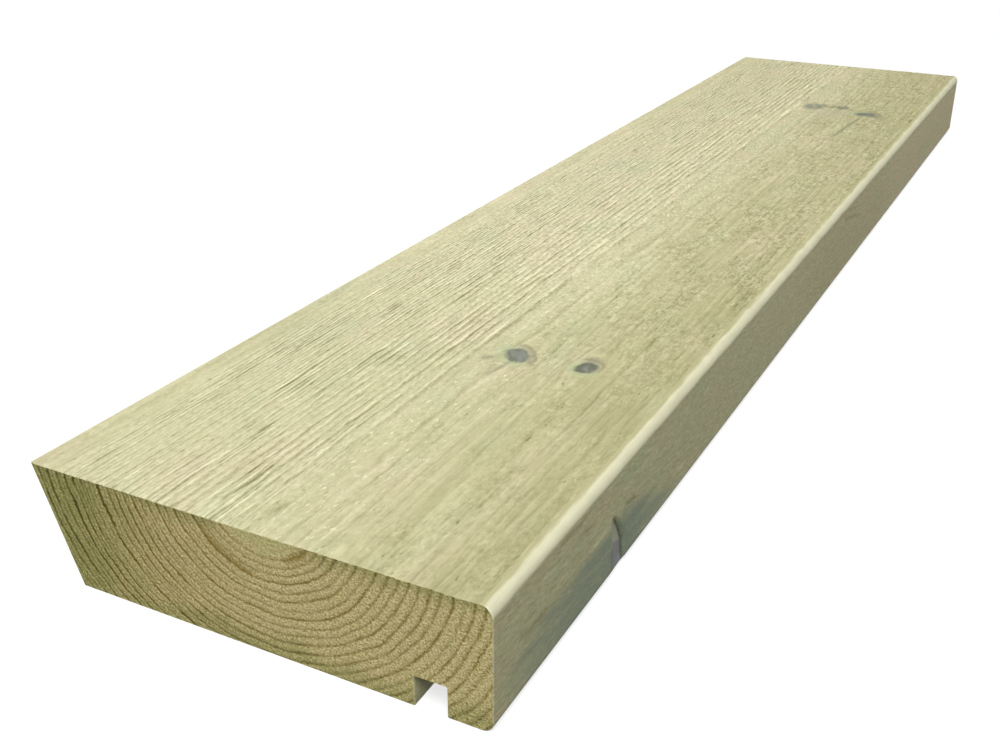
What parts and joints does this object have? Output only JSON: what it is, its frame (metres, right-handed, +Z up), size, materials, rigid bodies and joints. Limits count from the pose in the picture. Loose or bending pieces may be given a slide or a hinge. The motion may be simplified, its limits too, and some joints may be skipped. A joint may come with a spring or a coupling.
{
  "type": "drip board",
  "caption": "Treated softwood drip board with a bevelled back edge, rounded front arrises and a square drip groove along the underside, to throw rainwater clear of a wall.",
  "frame": {"origin": "on the floor under the middle of the board: the bottom centre of its bounding box", "axes": "+X across the board towards the rounded front edge, +Y along its length, +Z up through its thickness"},
  "size_m": [0.125, 0.567, 0.032],
  "materials": {
    "treated_softwood": "fine-sawn top, planed edges, pale green pressure-treated, matt"
  },
  "bodies": {
    "root": {"drip_board": "treated_softwood"}
  },
  "joints": []
}
